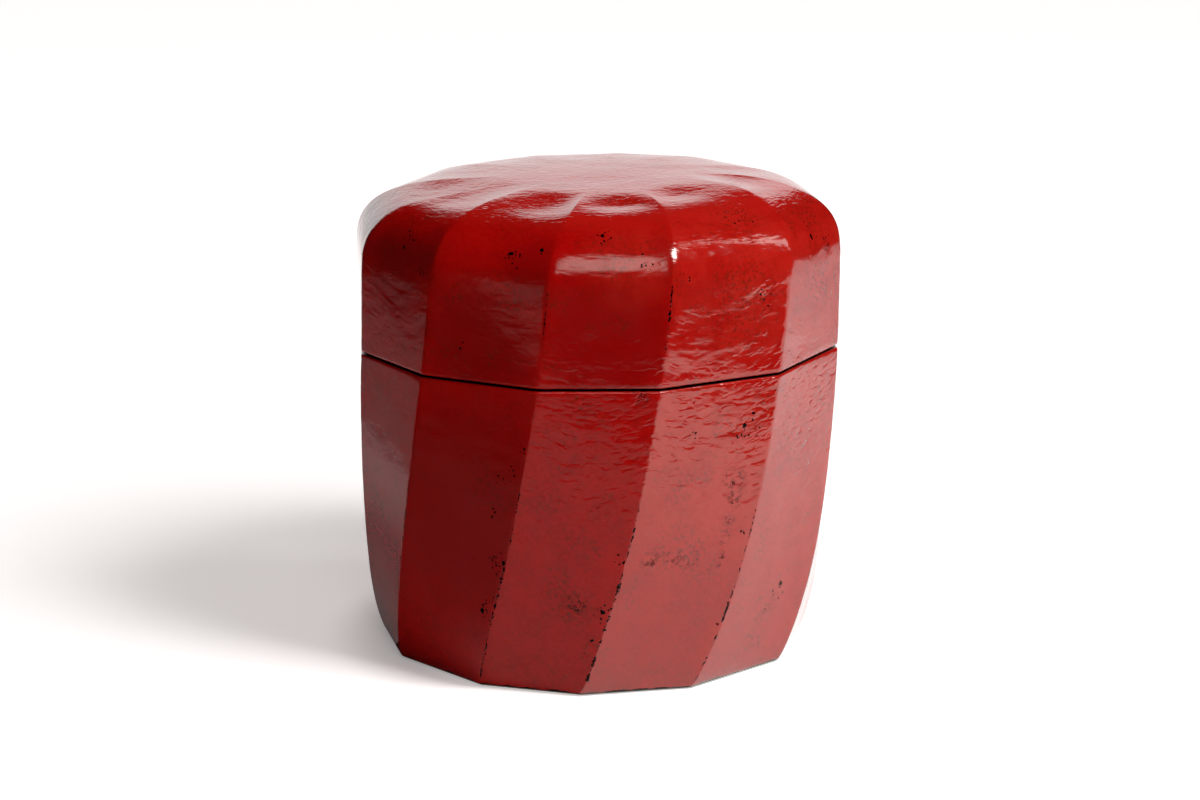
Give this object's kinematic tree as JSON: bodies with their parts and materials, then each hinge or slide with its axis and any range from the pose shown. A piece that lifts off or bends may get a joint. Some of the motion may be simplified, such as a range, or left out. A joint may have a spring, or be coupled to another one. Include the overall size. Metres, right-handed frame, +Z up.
{
  "type": "lacquer box",
  "caption": "Lidded box carved with slanting facets that twist up the body and run on over the lid's rounded shoulder; red lacquer worn to black at the ridges, lid seated on an inner rim.",
  "frame": {"origin": "middle of the base, on the surface that the box stands on", "axes": "+Z up along the axis of the box; -Y towards the camera of the picture"},
  "size_m": [0.0706, 0.0702, 0.0688],
  "materials": {
    "red_lacquer": "red lacquer over black on carved wood, satin gloss, worn at the ridges",
    "black_lacquer": "black lacquer on wood, gloss"
  },
  "bodies": {
    "body": {"body_shell": "red_lacquer", "inner_rim": "black_lacquer"},
    "lid": {"lid_shell": "red_lacquer"}
  },
  "joints": [
    {"name": "lid_lift", "type": "slide", "parent": "body", "child": "lid", "axis": [0, 0, 1], "range_m": [0, 0.06]}
  ]
}
